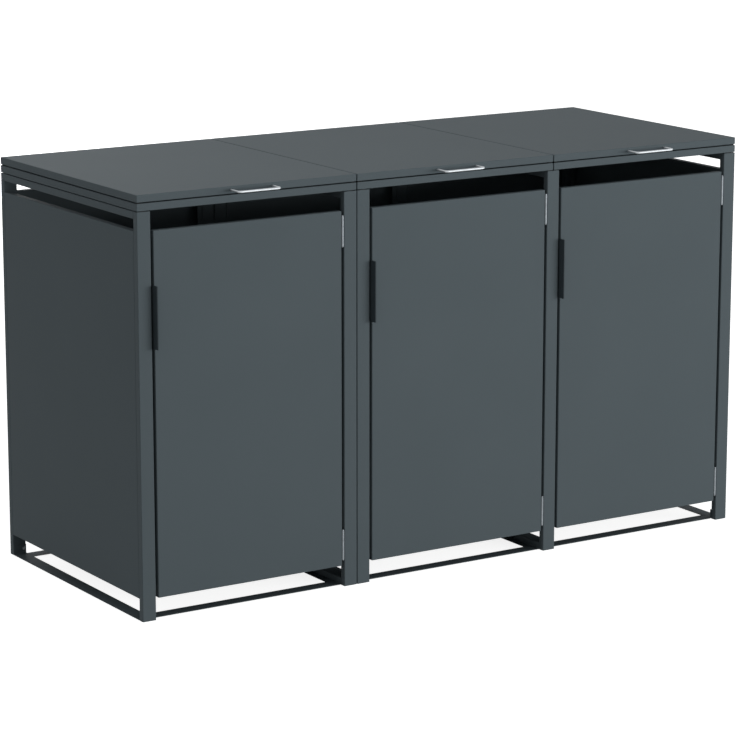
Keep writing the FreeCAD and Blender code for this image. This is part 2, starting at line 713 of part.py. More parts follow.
os.makedirs("parts", exist_ok=True)
for piece in nodes:
    piece.Shape.exportStep("parts/%s.step" % piece.Label)
print("%d sub-parts written" % len(nodes))
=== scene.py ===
import json
import math

import bmesh
import bpy
from mathutils import Matrix, Vector


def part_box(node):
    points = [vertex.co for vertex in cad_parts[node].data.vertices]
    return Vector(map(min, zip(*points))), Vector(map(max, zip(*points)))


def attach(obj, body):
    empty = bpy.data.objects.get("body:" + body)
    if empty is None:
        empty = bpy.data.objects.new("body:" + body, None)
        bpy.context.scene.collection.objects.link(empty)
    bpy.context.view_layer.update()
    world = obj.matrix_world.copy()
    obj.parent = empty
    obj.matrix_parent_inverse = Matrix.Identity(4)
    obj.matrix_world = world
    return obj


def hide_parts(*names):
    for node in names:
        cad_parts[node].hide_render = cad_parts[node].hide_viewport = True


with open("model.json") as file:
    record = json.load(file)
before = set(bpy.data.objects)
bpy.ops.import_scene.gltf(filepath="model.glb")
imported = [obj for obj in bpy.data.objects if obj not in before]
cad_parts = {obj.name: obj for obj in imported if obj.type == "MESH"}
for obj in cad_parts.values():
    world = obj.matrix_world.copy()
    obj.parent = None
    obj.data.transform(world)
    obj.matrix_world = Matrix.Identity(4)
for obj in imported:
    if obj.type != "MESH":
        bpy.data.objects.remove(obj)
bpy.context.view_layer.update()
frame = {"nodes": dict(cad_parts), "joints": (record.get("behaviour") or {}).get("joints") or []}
print("frame loaded:", len(frame["nodes"]), "nodes")

mm = 0.001
axisX, axisY, axisZ = 0, 1, 2
towardsLeft = Vector((-1, 0, 0))
towardsRight = Vector((1, 0, 0))
towardsFront = Vector((0, -1, 0))
towardsRear = Vector((0, 1, 0))
upwards = Vector((0, 0, 1))
downwards = Vector((0, 0, -1))
quarterTurn = math.radians(90)
bays = {1: "left", 2: "middle", 3: "right"}

# How squarely a face has to look along a way to be picked, how near two points count as one,
# and from which angle an edge is rounded off or shaded sharp.
squareOn = 0.9
samePlace = 0.1 * mm
weldDistance = 0.01 * mm
roundedAngle = math.radians(40)
sharpAngle = math.radians(35)


# Work with objects and with what is selected in edit mode.

def onlySelect(piece):
    bpy.ops.object.select_all(action="DESELECT")
    piece.select_set(True)
    bpy.context.view_layer.objects.active = piece


def settle(piece, name):
    # The piece's place, turn and size go into its mesh.
    onlySelect(piece)
    bpy.ops.object.transform_apply(location=True, rotation=True, scale=True)
    piece.name = name
    piece.data.name = name
    return piece


def startBox(name, low, high):
    bpy.ops.object.select_all(action="DESELECT")
    bpy.ops.mesh.primitive_cube_add(size=1, location=(low + high) / 2, scale=high - low)
    return settle(bpy.context.object, name)


def startPlane(name, middle, size):
    bpy.ops.object.select_all(action="DESELECT")
    bpy.ops.mesh.primitive_plane_add(size=1, location=middle)
    bpy.context.object.scale = (size[0], size[1], 1)
    return settle(bpy.context.object, name)


def startRound(name, radius, low, high, sides=48):
    # A round bar that stands on Z, between two levels.
    bpy.ops.object.select_all(action="DESELECT")
    bpy.ops.mesh.primitive_cylinder_add(vertices=sides, radius=radius, depth=high - low,
                                        location=(0, 0, (low + high) / 2))
    return settle(bpy.context.object, name)


def openEdit(piece):
    onlySelect(piece)
    bpy.ops.object.mode_set(mode="EDIT")


def closeEdit():
    bpy.ops.object.mode_set(mode="OBJECT")


def pickFaces(piece, test):
    # Selects the faces whose centre and normal pass the test.
    bpy.ops.mesh.select_mode(type="FACE")
    bpy.ops.mesh.select_all(action="DESELECT")
    mesh = bmesh.from_edit_mesh(piece.data)
    found = [face for face in mesh.faces if test(face.calc_center_median(), face.normal)]
    if not found:
        raise ValueError("no face of %s passes" % piece.name)
    for face in found:
        face.select_set(True)
    bmesh.update_edit_mesh(piece.data)


def pickEdges(piece, test):
    # Selects the edges whose two ends pass the test.
    bpy.ops.mesh.select_mode(type="EDGE")
    bpy.ops.mesh.select_all(action="DESELECT")
    mesh = bmesh.from_edit_mesh(piece.data)
    found = [edge for edge in mesh.edges if test(edge.verts[0].co, edge.verts[1].co)]
    if not found:
        raise ValueError("no edge of %s passes" % piece.name)
    for edge in found:
        edge.select_set(True)
    bmesh.update_edit_mesh(piece.data)


def facing(way):
    # The test for faces that look this way.
    return lambda centre, normal: normal.dot(way) > squareOn


def runsAlong(start, end, axis):
    # Whether an edge's ends lie apart on this axis.
    return abs(start[axis] - end[axis]) > mm


def betweenCorners(low, high):
    # The test for the twelve edges of a box.
    def isCorner(point):
        offsets = [min(abs(point[axis] - end[axis]) for end in (low, high)) for axis in range(3)]
        return max(offsets) < samePlace

    return lambda start, end: isCorner(start) and isCorner(end)


def extrude(x=0.0, y=0.0, z=0.0):
    bpy.ops.mesh.extrude_region_move(TRANSFORM_OT_translate={"value": (x, y, z)})


def normalsOut():
    bpy.ops.mesh.select_all(action="SELECT")
    bpy.ops.mesh.normals_make_consistent(inside=False)


def faceOut(piece, test):
    # Turns all faces over if no face passes the test.
    mesh = bmesh.from_edit_mesh(piece.data)
    if not any(test(face.calc_center_median(), face.normal) for face in mesh.faces):
        bpy.ops.mesh.select_all(action="SELECT")
        bpy.ops.mesh.flip_normals()


def modify(piece, kind, **settings):
    # Adds a modifier and applies it at once.
    onlySelect(piece)
    modifier = piece.modifiers.new(kind.title(), kind)
    for name, setting in settings.items():
        setattr(modifier, name, setting)
    bpy.ops.object.modifier_apply(modifier=modifier.name)
    return piece


def softenEdges(piece, width, steps=2):
    return modify(piece, "BEVEL", width=width, segments=steps,
                  limit_method="ANGLE", angle_limit=roundedAngle)


def thicken(piece, thickness):
    # The sheet grows inwards from the surface drawn so far.
    return modify(piece, "SOLIDIFY", thickness=thickness, offset=-1)


def throwAway(piece):
    bpy.data.objects.remove(piece)


def copyTo(piece, name, matrix):
    # A copy with a mesh of its own, moved and turned in the mesh.
    twin = piece.copy()
    twin.data = piece.data.copy()
    twin.name = name
    twin.data.name = name
    twin.data.transform(matrix)
    bpy.context.scene.collection.objects.link(twin)
    return twin


def placeAll(part, name, matrices):
    # Copies of a small part, one for each matrix. The part itself goes.
    twins = [copyTo(part, name, matrix) for matrix in matrices]
    throwAway(part)
    return twins


def joinAll(name, parts):
    bpy.ops.object.select_all(action="DESELECT")
    for part in parts:
        part.select_set(True)
    bpy.context.view_layer.objects.active = parts[0]
    bpy.ops.object.join()
    parts[0].name = name
    parts[0].data.name = name
    return parts[0]


def dress(piece, body, slotName, *nodes):
    # Shading, finish, the body it moves with and the nodes it stands for.
    onlySelect(piece)
    bpy.ops.object.shade_smooth_by_angle(angle=sharpAngle)
    modify(piece, "WEIGHTED_NORMAL", keep_sharp=True)
    piece.data.materials.append(finishes[slotName])
    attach(piece, body)
    if nodes:
        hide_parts(*nodes)


# Materials. Widths and depths of their patterns are in millimetres.

def srgb(text):
    # A hex colour as the eye sees it, turned to the linear values that the shader wants.
    channels = [int(text[place:place + 2], 16) / 255 for place in (1, 3, 5)]
    linear = [value / 12.92 if value <= 0.04045 else ((value + 0.055) / 1.055) ** 2.4
              for value in channels]
    return (*linear, 1)


def addNode(tree, kind, settings=None, inputs=None):
    node = tree.nodes.new(kind)
    for name, setting in (settings or {}).items():
        setattr(node, name, setting)
    for name, source in (inputs or {}).items():
        if isinstance(source, bpy.types.NodeSocket):
            tree.links.new(source, node.inputs[name])
        else:
            node.inputs[name].default_value = source
    return node


def newFinish(name):
    material = bpy.data.materials.new(name)
    material.use_nodes = True
    tree = material.node_tree
    tree.nodes.clear()
    place = addNode(tree, "ShaderNodeTexCoord").outputs["Object"]
    return material, tree, place


def finishTree(tree, shader):
    addNode(tree, "ShaderNodeOutputMaterial", None, {"Surface": shader.outputs[0]})


def perSize(millimetres):
    # The noise scale whose features are about this wide.
    return 1 / (millimetres * mm)


# The sockets of a colour mix go by number, because its other types share their names.
mixShare, mixFirst, mixSecond = 0, 6, 7
mixColour = 2

# Powder coat on sheet steel, sprayed and baked: an even satin film whose faint orange peel
# breaks the highlights, and whose depth of colour drifts a little over a panel.
powderCoat = {
    "colour": "#4b5458",
    "thinFilm": "#4f585c",
    "driftWidth": 320,
    "driftDetail": 2.0,
    "peelWidth": 3.5,
    "peelDetail": 1.0,
    "peelDepth": 0.07,
    "grainWidth": 0.9,
    "grainDetail": 1.0,
    "grainDepth": 0.03,
    "bumpStrength": 0.6,
    "smoothest": 0.6,
    "roughest": 0.68,
    "specular": 0.08,
}


def makePowderCoat(name, look):
    material, tree, place = newFinish(name)
    drift = addNode(tree, "ShaderNodeTexNoise", None, {
        "Vector": place,
        "Scale": perSize(look["driftWidth"]),
        "Detail": look["driftDetail"],
    })
    colour = addNode(tree, "ShaderNodeMix", {"data_type": "RGBA"}, {
        mixShare: drift.outputs["Fac"],
        mixFirst: srgb(look["colour"]),
        mixSecond: srgb(look["thinFilm"]),
    })
    peel = addNode(tree, "ShaderNodeTexNoise", None, {
        "Vector": place,
        "Scale": perSize(look["peelWidth"]),
        "Detail": look["peelDetail"],
    })
    grain = addNode(tree, "ShaderNodeTexNoise", None, {
        "Vector": place,
        "Scale": perSize(look["grainWidth"]),
        "Detail": look["grainDetail"],
    })
    rough = addNode(tree, "ShaderNodeMapRange", None, {
        "Value": grain.outputs["Fac"],
        "To Min": look["smoothest"],
        "To Max": look["roughest"],
    })
    peelBump = addNode(tree, "ShaderNodeBump", None, {
        "Height": peel.outputs["Fac"],
        "Strength": look["bumpStrength"],
        "Distance": look["peelDepth"] * mm,
    })
    grainBump = addNode(tree, "ShaderNodeBump", None, {
        "Height": grain.outputs["Fac"],
        "Strength": look["bumpStrength"],
        "Distance": look["grainDepth"] * mm,
        "Normal": peelBump.outputs["Normal"],
    })
    shader = addNode(tree, "ShaderNodeBsdfPrincipled", None, {
        "Base Color": colour.outputs[mixColour],
        "Roughness": rough.outputs["Result"],
        "Specular IOR Level": look["specular"],
        "Normal": grainBump.outputs["Normal"],
    })
    finishTree(tree, shader)
    return material


# The pull plates have a black powder coat with a finer, deeper grain, which keeps them
# nearly black beside the satin doors.
blackCoat = {
    **powderCoat,
    "colour": "#30383c",
    "thinFilm": "#363e42",
    "driftWidth": 60,
    "peelWidth": 2.0,
    "peelDepth": 0.05,
    "grainWidth": 0.7,
    "grainDepth": 0.04,
    "smoothest": 0.55,
    "roughest": 0.65,
    "specular": 0.1,
}

# Zinc-plated steel, passivated: a grey metal with soft cloudy patches and a fine tooth, dull
# enough to read as one light stripe in a door's gap.
zincPlate = {
    "colour": "#7c8185",
    "cloud": "#6f7478",
    "cloudWidth": 9,
    "cloudDetail": 3.0,
    "toothWidth": 0.35,
    "toothDetail": 1.0,
    "toothDepth": 0.01,
    "toothStrength": 0.4,
    "smoothest": 0.42,
    "roughest": 0.54,
}


def makeZinc(name, look):
    material, tree, place = newFinish(name)
    cloud = addNode(tree, "ShaderNodeTexNoise", None, {
        "Vector": place,
        "Scale": perSize(look["cloudWidth"]),
        "Detail": look["cloudDetail"],
    })
    colour = addNode(tree, "ShaderNodeMix", {"data_type": "RGBA"}, {
        mixShare: cloud.outputs["Fac"],
        mixFirst: srgb(look["colour"]),
        mixSecond: srgb(look["cloud"]),
    })
    tooth = addNode(tree, "ShaderNodeTexNoise", None, {
        "Vector": place,
        "Scale": perSize(look["toothWidth"]),
        "Detail": look["toothDetail"],
    })
    rough = addNode(tree, "ShaderNodeMapRange", None, {
        "Value": cloud.outputs["Fac"],
        "To Min": look["smoothest"],
        "To Max": look["roughest"],
    })
    bump = addNode(tree, "ShaderNodeBump", None, {
        "Height": tooth.outputs["Fac"],
        "Strength": look["toothStrength"],
        "Distance": look["toothDepth"] * mm,
    })
    shader = addNode(tree, "ShaderNodeBsdfPrincipled", None, {
        "Base Color": colour.outputs[mixColour],
        "Metallic": 1.0,
        "Roughness": rough.outputs["Result"],
        "Normal": bump.outputs["Normal"],
    })
    finishTree(tree, shader)
    return material


# Stainless rod, ground to a satin polish along its length: one broad soft highlight, broken
# by faint streaks from the belt.
polishedRod = {
    "colour": "#b0b4b7",
    "streakWidth": 0.5,
    "streakDetail": 2.0,
    "streakDepth": 0.004,
    "streakStrength": 0.25,
    "streakSquash": 0.12,
    "smoothest": 0.46,
    "roughest": 0.54,
}


def makePolishedRod(name, look):
    material, tree, place = newFinish(name)
    stretch = addNode(tree, "ShaderNodeMapping", None, {
        "Vector": place,
        "Scale": (look["streakSquash"], 1.0, 1.0),
    })
    streaks = addNode(tree, "ShaderNodeTexNoise", None, {
        "Vector": stretch.outputs[0],
        "Scale": perSize(look["streakWidth"]),
        "Detail": look["streakDetail"],
    })
    rough = addNode(tree, "ShaderNodeMapRange", None, {
        "Value": streaks.outputs["Fac"],
        "To Min": look["smoothest"],
        "To Max": look["roughest"],
    })
    bump = addNode(tree, "ShaderNodeBump", None, {
        "Height": streaks.outputs["Fac"],
        "Strength": look["streakStrength"],
        "Distance": look["streakDepth"] * mm,
    })
    shader = addNode(tree, "ShaderNodeBsdfPrincipled", None, {
        "Base Color": srgb(look["colour"]),
        "Metallic": 1.0,
        "Roughness": rough.outputs["Result"],
        "Normal": bump.outputs["Normal"],
    })
    finishTree(tree, shader)
    return material


# Polypropylene inserts, moulded: black, with the mould's fine spark-eroded grain.
mouldedPlastic = {
    "colour": "#191a1c",
    "worn": "#212326",
    "grainWidth": 0.8,
    "grainDetail": 2.0,
    "grainDepth": 0.03,
    "grainStrength": 0.5,
    "roughness": 0.6,
    "specular": 0.2,
}

# Rubber pads, moulded from synthetic rubber: dull black with a greyish bloom.
padRubber = {
    **mouldedPlastic,
    "colour": "#141414",
    "worn": "#202020",
    "grainWidth": 1.6,
    "roughness": 0.8,
    "specular": 0.15,
}


def makeMoulded(name, look):
    material, tree, place = newFinish(name)
    grain = addNode(tree, "ShaderNodeTexNoise", None, {
        "Vector": place,
        "Scale": perSize(look["grainWidth"]),
        "Detail": look["grainDetail"],
    })
    colour = addNode(tree, "ShaderNodeMix", {"data_type": "RGBA"}, {
        mixShare: grain.outputs["Fac"],
        mixFirst: srgb(look["colour"]),
        mixSecond: srgb(look["worn"]),
    })
    bump = addNode(tree, "ShaderNodeBump", None, {
        "Height": grain.outputs["Fac"],
        "Strength": look["grainStrength"],
        "Distance": look["grainDepth"] * mm,
    })
    shader = addNode(tree, "ShaderNodeBsdfPrincipled", None, {
        "Base Color": colour.outputs[mixColour],
        "Roughness": look["roughness"],
        "Specular IOR Level": look["specular"],
        "Normal": bump.outputs["Normal"],
    })
    finishTree(tree, shader)
    return material


finishes = {
    "powder_coat": makePowderCoat("anthracitePowderCoat", powderCoat),
    "black_pull": makePowderCoat("blackPowderCoat", blackCoat),
    "zinc_hinge": makeZinc("zincPlatedSteel", zincPlate),
    "polished_rod": makePolishedRod("polishedStainlessRod", polishedRod),
    "insert_plastic": makeMoulded("mouldedPolypropylene", mouldedPlastic),
    "bumper_rubber": makeMoulded("mouldedRubber", padRubber),
}
print("materials made:", len(finishes))


# Posts, rails and sills: welded steel tube.

tubeLook = {
    "wall": 1.5 * mm,
    "round": 2 * mm,
    "roundSteps": 5,
    "sillWidth": 40 * mm,
    "flangeThick": 2 * mm,
    "flangeLap": 1 * mm,
    "flangeEdge": 0.6 * mm,
}


def roundedTube(name, low, high, along):
    piece = startBox(name, low, high)
    openEdit(piece)
    pickEdges(piece, lambda start, end: runsAlong(start, end, along))
    bpy.ops.mesh.bevel(offset=tubeLook["round"], segments=tubeLook["roundSteps"])
    pickFaces(piece, lambda centre, normal: abs(normal[along]) > squareOn)
    bpy.ops.mesh.delete(type="FACE")
    closeEdit()
    return thicken(piece, tubeLook["wall"])


for number in range(1, 6):
    for row in ("front", "rear"):
        node = "post_%s_%d" % (row, number)
        post = roundedTube("%sPost%d" % (row, number), *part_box(node), axisZ)
        dress(post, "store", "powder_coat", node)
    node = "top_rail_%d" % number
    rail = roundedTube("topRail%d" % number, *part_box(node), axisY)
    dress(rail, "store", "powder_coat", node)

for number in (1, 2):
    node = "floor_sill_%d" % number
    low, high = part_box(node)
    tubeLow = Vector((high.x - tubeLook["sillWidth"], low.y, low.z))
    sillTube = roundedTube("sillTube%d" % number, tubeLow, high, axisY)
    flangeHigh = Vector((tubeLow.x + tubeLook["flangeLap"], high.y, low.z + tubeLook["flangeThick"]))
    flange = startBox("sillFlange%d" % number, low, flangeHigh)
    softenEdges(flange, tubeLook["flangeEdge"])
    dress(joinAll("floorSill%d" % number, [sillTube, flange]), "store", "powder_coat", node)
print("tubes made")


# Flat strips on the floor, and the side strips with tabs bent up against the posts.

stripLook = {
    "thick": 2 * mm,
    "tabHeight": 28 * mm,
    "bendRound": 3 * mm,
    "bendSteps": 5,
    "edge": 0.5 * mm,
}


def sideStrip(name, node):
    low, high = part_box(node)
    middle = Vector(((low.x + high.x) / 2, (low.y + high.y) / 2, low.z))
    piece = startPlane(name, middle, (high.x - low.x, high.y - low.y))
    openEdit(piece)
    pickEdges(piece, lambda start, end: not runsAlong(start, end, axisY))
    extrude(z=stripLook["tabHeight"])

    def isBend(start, end):
        return max(start.z, end.z) < low.z + mm and not runsAlong(start, end, axisY)

    pickEdges(piece, isBend)
    bpy.ops.mesh.bevel(offset=stripLook["bendRound"], segments=stripLook["bendSteps"])
    normalsOut()
    faceOut(piece, facing(downwards))
    closeEdit()
    return softenEdges(thicken(piece, stripLook["thick"]), stripLook["edge"])


for side in bays.values():
    node = "floor_strip_" + side
    dress(sideStrip(side + "FloorStrip", node), "store", "powder_coat", node)
for row in ("front", "rear"):
    for number in bays:
        node = "floor_strip_%s_%d" % (row, number)
        strip = startBox("%sFloorStrip%d" % (row, number), *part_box(node))
        dress(softenEdges(strip, stripLook["edge"]), "store", "powder_coat", node)
print("floor strips made")


# Folded sheet pans: doors, panels and lids, with hat stiffeners spot-welded behind the skin.

panLook = {
    "sheet": 1.2 * mm,
    "bendRound": 2 * mm,
    "bendSteps": 5,
    "lip": 15 * mm,
    "hatRound": 1.5 * mm,
    "hatRoundSteps": 3,
    "hatHeight": 12 * mm,
    "hatCrown": 30 * mm,
    "hatFlange": 15 * mm,
    "hatEndGap": 4 * mm,
    "weldPitch": 75 * mm,
    "weldRadius": 2.5 * mm,
    "weldSides": 20,
    "weldDepth": 0.25 * mm,
    "weldRimShare": 0.3,
    "weldDishShare": 0.6,
}


def spotWeld(name):
    # A shallow round mark left by the electrode, proud by a hair and dished in the middle.
    piece = startRound(name, panLook["weldRadius"], -panLook["weldDepth"], 0, panLook["weldSides"])
    openEdit(piece)
    pickFaces(piece, facing(downwards))
    bpy.ops.mesh.inset(thickness=panLook["weldRadius"] * panLook["weldRimShare"])
    extrude(z=panLook["weldDepth"] * panLook["weldDishShare"])
    closeEdit()
    return piece


def hatStiffener(name, length):
    # Lies along X with its flanges on the plane z = 0, and its crown below.
    crown = panLook["hatCrown"]
    flange = panLook["hatFlange"]
    weldLine = (crown + flange) / 2
    piece = startPlane(name, (0, -weldLine, 0), (length, flange))
    openEdit(piece)
    pickEdges(piece, lambda start, end: min(start.y, end.y) > -crown / 2 - mm)
    extrude(z=-panLook["hatHeight"])
    extrude(y=crown)
    extrude(z=panLook["hatHeight"])
    extrude(y=flange)

    def isBend(start, end):
        atCrown = abs(abs(start.y) - crown / 2) < samePlace and abs(start.y - end.y) < samePlace
        return atCrown and runsAlong(start, end, axisX)

    pickEdges(piece, isBend)
    bpy.ops.mesh.bevel(offset=panLook["hatRound"], segments=panLook["hatRoundSteps"])
    normalsOut()
    faceOut(piece, lambda centre, normal: centre.z > -mm and normal.z > squareOn)
    closeEdit()
    thicken(piece, panLook["sheet"])
    spots = int((length - 2 * flange) / panLook["weldPitch"])
    matrices = []
    for index in range(spots + 1):
        x = (index - spots / 2) * panLook["weldPitch"]
        for y in (-weldLine, weldLine):
            matrices.append(Matrix.Translation((x, y, -panLook["sheet"])))
    return joinAll(name, [piece] + placeAll(spotWeld(name + "Weld"), name + "Spot", matrices))


def turnTo(outward):
    # Turns what lies with its skin up so that the skin looks outwards and Y points up.
    if outward.z > squareOn:
        return Matrix.Identity(4)
    return Matrix((upwards.cross(outward), upwards, outward)).transposed().to_4x4()


def foldedPan(name, node, outward, shares):
    # The skin looks outwards; shares are the hats' places along the pan.
    low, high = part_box(node)
    skin = max(low.dot(outward), high.dot(outward))
    piece = startBox(name, low, high)
    openEdit(piece)
    pickFaces(piece, facing(-outward))
    bpy.ops.mesh.inset(thickness=panLook["lip"])
    bpy.ops.mesh.delete(type="FACE")
    pickEdges(piece, betweenCorners(low, high))
    bpy.ops.mesh.bevel(offset=panLook["bendRound"], segments=panLook["bendSteps"])
    closeEdit()
    thicken(piece, panLook["sheet"])

    turn = turnTo(outward)
    along = (turn @ Vector((1, 0, 0))).normalized()
    across = (turn @ Vector((0, 1, 0))).normalized()
    size = high - low
    length = abs(size.dot(along)) - 2 * panLook["sheet"] - 2 * panLook["hatEndGap"]
    middle = (low + high) / 2
    parts = [piece]
    for share in shares:
        place = middle + outward * (skin - panLook["sheet"] - middle.dot(outward))
        place += across * (abs(size.dot(across)) * (share - 0.5))
        hat = hatStiffener(name + "Hat", length)
        hat.data.transform(Matrix.Translation(place) @ turn)
        parts.append(hat)
    return joinAll(name, parts)


thirds = (1 / 3, 2 / 3)
for side, outward in (("left", towardsLeft), ("right", towardsRight)):
    panel = foldedPan(side + "SidePanel", "side_panel_" + side, outward, thirds)
    dress(panel, "store", "powder_coat", "side_panel_" + side)
for number, side in bays.items():
    rearPanel = foldedPan("%sRearPanel" % side, "rear_panel_%d" % number, towardsRear, thirds)
    dress(rearPanel, "store", "powder_coat", "rear_panel_%d" % number)
    door = foldedPan(side + "Door", "door_%d" % number, towardsFront, thirds)
    dress(door, side + "_door", "powder_coat", "door_%d" % number)
    lid = foldedPan(side + "Lid", "lid_%d" % number, upwards, (1 / 2,))
    dress(lid, side + "_lid", "powder_coat", "lid_%d" % number)
print("doors, panels and lids made")


# Lid frames: a folded C section all round, open to the inside.

frameLook = {
    "wall": 1.5 * mm,
    "sideFlange": 40 * mm,
    "endFlange": 20 * mm,
    "round": 2 * mm,
    "roundSteps": 5,
}


def lidFrame(name, node):
    low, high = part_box(node)
    piece = startBox(name, low, high)
    width = high.x - low.x
    wide = width - 2 * frameLook["endFlange"]
    narrow = width - 2 * frameLook["sideFlange"]
    openEdit(piece)
    for way in (upwards, downwards):
        pickFaces(piece, facing(way))
        bpy.ops.mesh.inset(thickness=frameLook["endFlange"])
        bpy.ops.transform.resize(value=(narrow / wide, 1, 1), center_override=(low + high) / 2)
        bpy.ops.mesh.delete(type="FACE")
    pickEdges(piece, betweenCorners(low, high))
    bpy.ops.mesh.bevel(offset=frameLook["round"], segments=frameLook["roundSteps"])
    closeEdit()
    return thicken(piece, frameLook["wall"])


for number, side in bays.items():
    node = "lid_frame_%d" % number
    dress(lidFrame(side + "LidFrame", node), "store", "powder_coat", node)
print("lid frames made")


# Pan-head screws, in the sizes of the pieces that they hold.

screwLook = {
    "washerEdge": 0.2 * mm,
    "roundShare": 0.55,
    "roundSteps": 5,
    "armShare": 0.5,
    "armWidthShare": 0.16,
    "armDepthShare": 0.5,
}


def panScrew(name, look):
    # The head stands up along Z on its washer, from z = 0, and has a cross recess.
    radius = look["screwRadius"]
    bottom = look["washerThick"]
    top = bottom + look["screwHeight"]
    washer = startRound(name + "Washer", look["washerRadius"], 0, bottom)
    softenEdges(washer, screwLook["washerEdge"])
    head = startRound(name + "Head", radius, bottom, top)
    openEdit(head)
    pickFaces(head, facing(upwards))
    bpy.ops.mesh.bevel(offset=look["screwHeight"] * screwLook["roundShare"],
                       segments=screwLook["roundSteps"])
    closeEdit()
    arm = radius * screwLook["armShare"]
    slot = radius * screwLook["armWidthShare"]
    recessLow = top - look["screwHeight"] * screwLook["armDepthShare"]
    for long, short in ((arm, slot), (slot, arm)):
        low = Vector((-long, -short, recessLow))
        recess = startBox(name + "Recess", low, Vector((long, short, top + mm)))
        modify(head, "BOOLEAN", object=recess, operation="DIFFERENCE", solver="EXACT")
        throwAway(recess)
    return joinAll(name, [washer, head])


# Bow handles on the lids: a bent rod, with a screw behind each foot.

bowLook = {
    "rod": 3 * mm,
    "bend": 9 * mm,
    "sides": 32,
    "bendSteps": 12,
    "screwRadius": 4 * mm,
    "screwHeight": 2.6 * mm,
    "washerRadius": 5.5 * mm,
    "washerThick": 0.8 * mm,
}


def bowHandle(name, node):
    # The rod's round section is led from the left foot, along the grip, to the right foot.
    low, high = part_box(node)
    rod = bowLook["rod"]
    bend = bowLook["bend"]
    level = (low.z + high.z) / 2
    left = low.x + rod
    right = high.x - rod
    grip = low.y + rod
    bpy.ops.object.select_all(action="DESELECT")
    bpy.ops.mesh.primitive_circle_add(vertices=bowLook["sides"], radius=rod,
                                      location=(left, high.y, level), rotation=(quarterTurn, 0, 0))
    piece = settle(bpy.context.object, name)
    openEdit(piece)
    bpy.ops.mesh.select_mode(type="EDGE")
    bpy.ops.mesh.select_all(action="SELECT")
    extrude(y=grip + bend - high.y)
    bpy.ops.mesh.spin(steps=bowLook["bendSteps"], angle=-quarterTurn, axis=(0, 0, 1),
                      center=(left + bend, grip + bend, level))
    extrude(x=right - left - 2 * bend)
    bpy.ops.mesh.spin(steps=bowLook["bendSteps"], angle=-quarterTurn, axis=(0, 0, 1),
                      center=(right - bend, grip + bend, level))
    extrude(y=high.y - grip - bend)
    bpy.ops.mesh.select_all(action="SELECT")
    bpy.ops.mesh.remove_doubles(threshold=weldDistance)
    bpy.ops.mesh.fill_holes(sides=0)
    normalsOut()
    closeEdit()
    return piece


for number, side in bays.items():
    node = "lid_handle_%d" % number
    handle = bowHandle(side + "LidHandle", node)
    dress(handle, side + "_lid", "polished_rod", node)
    low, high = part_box(node)
    inside = high.y + panLook["sheet"]
    level = (low.z + high.z) / 2
    turn = Matrix.Rotation(-quarterTurn, 4, "X")
    footPlaces = (low.x + bowLook["rod"], high.x - bowLook["rod"])
    matrices = [Matrix.Translation((x, inside, level)) @ turn for x in footPlaces]
    screws = placeAll(panScrew("handleScrew", bowLook), "screw", matrices)
    dress(joinAll(side + "LidHandleScrews", screws), side + "_lid", "zinc_hinge")
print("lid handles made")


# Pull plates on the doors.

pullLook = {
    "cornerRound": 3 * mm,
    "cornerSteps": 6,
    "edge": 0.5 * mm,
    "edgeSteps": 3,
    "screwFromEnd": 25 * mm,
    "screwFromBack": 8 * mm,
    "screwRadius": 3.2 * mm,
    "screwHeight": 1.5 * mm,
    "washerRadius": 3.9 * mm,
    "washerThick": 0.4 * mm,
}


def pullPlate(name, node):
    low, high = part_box(node)
    piece = startBox(name, low, high)
    openEdit(piece)
    pickEdges(piece, lambda start, end: runsAlong(start, end, axisX) and start.y < low.y + mm)
    bpy.ops.mesh.bevel(offset=pullLook["cornerRound"], segments=pullLook["cornerSteps"])
    closeEdit()
    return softenEdges(piece, pullLook["edge"], pullLook["edgeSteps"])


for number, side in bays.items():
    node = "door_pull_%d" % number
    low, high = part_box(node)
    plate = pullPlate(side + "DoorPull", node)
    dress(plate, side + "_door", "black_pull", node)
    y = high.y - pullLook["screwFromBack"]
    turn = Matrix.Rotation(-quarterTurn, 4, "Y")
    levels = (low.z + pullLook["screwFromEnd"], high.z - pullLook["screwFromEnd"])
    matrices = [Matrix.Translation((low.x, y, z)) @ turn for z in levels]
    screws = placeAll(panScrew("pullScrew", pullLook), "screw", matrices)
    dress(joinAll(side + "DoorPullScrews", screws), side + "_door", "black_pull")
print("door pulls made")


# Butt hinges: rolled knuckles round a pin with domed ends, and riveted leaves.

hingeLook = {
    "length": 88.5 * mm,
    "head": 4 * mm,
    "headRadius": 3.1 * mm,
    "headRoundShare": 0.7,
    "headRoundSteps": 8,
    "pin": 2 * mm,
    "pinPlay": 0.05 * mm,
    "knuckles": 3,
    "knuckle": 3.5 * mm,
    "knuckleGap": 0.3 * mm,
    "knuckleEdge": 0.25 * mm,
    "leafFar": 4 * mm,
    "leafThick": 1.5 * mm,
    "leafReach": 16 * mm,
    "leafRelief": 4 * mm,
    "leafCorner": 3 * mm,
    "leafCornerSteps": 6,
    "leafEdge": 0.2 * mm,
    "tabLap": 1 * mm,
    "rivets": 3,
    "rivetRadius": 2.6 * mm,
    "rivetSides": 24,
    "rivetHeight": 0.7 * mm,
    "rivetRoundShare": 0.8,
    "rivetRoundSteps": 4,
    "rivetFromMiddle": 1 * mm,
}


def rivetHead(name):
    height = hingeLook["rivetHeight"]
    piece = startRound(name, hingeLook["rivetRadius"], 0, height, hingeLook["rivetSides"])
    openEdit(piece)
    pickFaces(piece, facing(upwards))
    bpy.ops.mesh.bevel(offset=height * hingeLook["rivetRoundShare"], segments=hingeLook["rivetRoundSteps"])
    closeEdit()
    return piece


